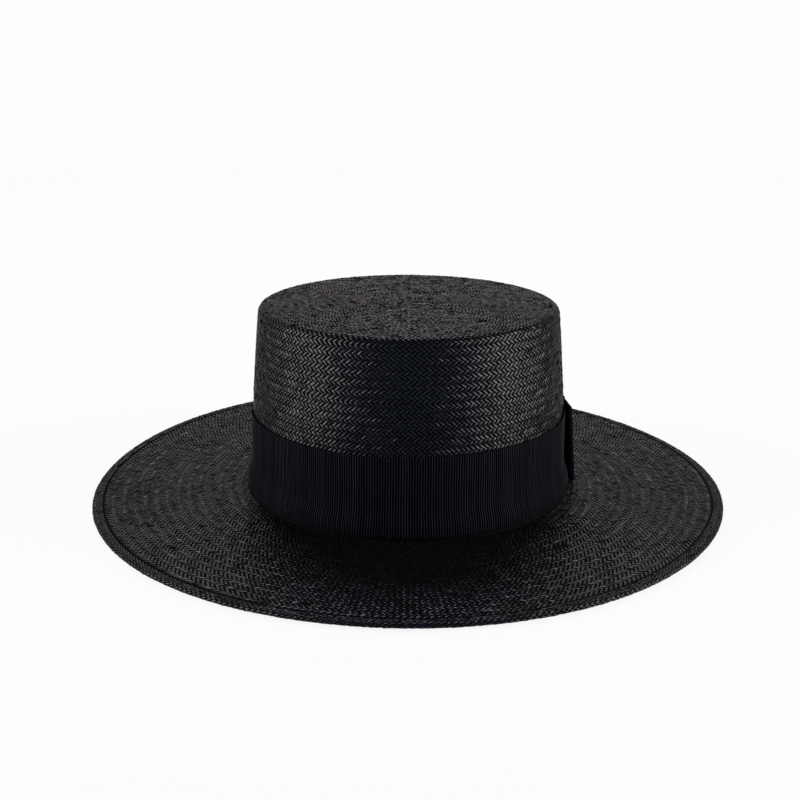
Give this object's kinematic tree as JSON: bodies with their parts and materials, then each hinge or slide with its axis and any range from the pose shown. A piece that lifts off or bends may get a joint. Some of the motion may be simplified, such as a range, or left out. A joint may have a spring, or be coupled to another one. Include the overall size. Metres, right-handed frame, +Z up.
{
  "type": "straw hat",
  "caption": "Wide-brimmed, flat-crowned hat of black woven straw with a turned-under brim edge, a ribbed ribbon band and a flat side bow.",
  "frame": {"origin": "centre of the overall box at the level of the surface that the brim rests on", "axes": "+Z up through the crown, -Y towards the front of the hat, +X towards the bow on the wearer's left"},
  "size_m": [0.3338, 0.3746, 0.1019],
  "materials": {
    "straw": "black dyed woven straw with a soft satin sheen",
    "ribbon": "black ribbed ribbon, matt",
    "thread": "black sewing thread"
  },
  "bodies": {
    "root": {"straw_body": "straw", "hem_stitching": "thread", "hat_band": "ribbon", "bow_loops": "ribbon", "bow_knot": "ribbon"}
  },
  "joints": []
}
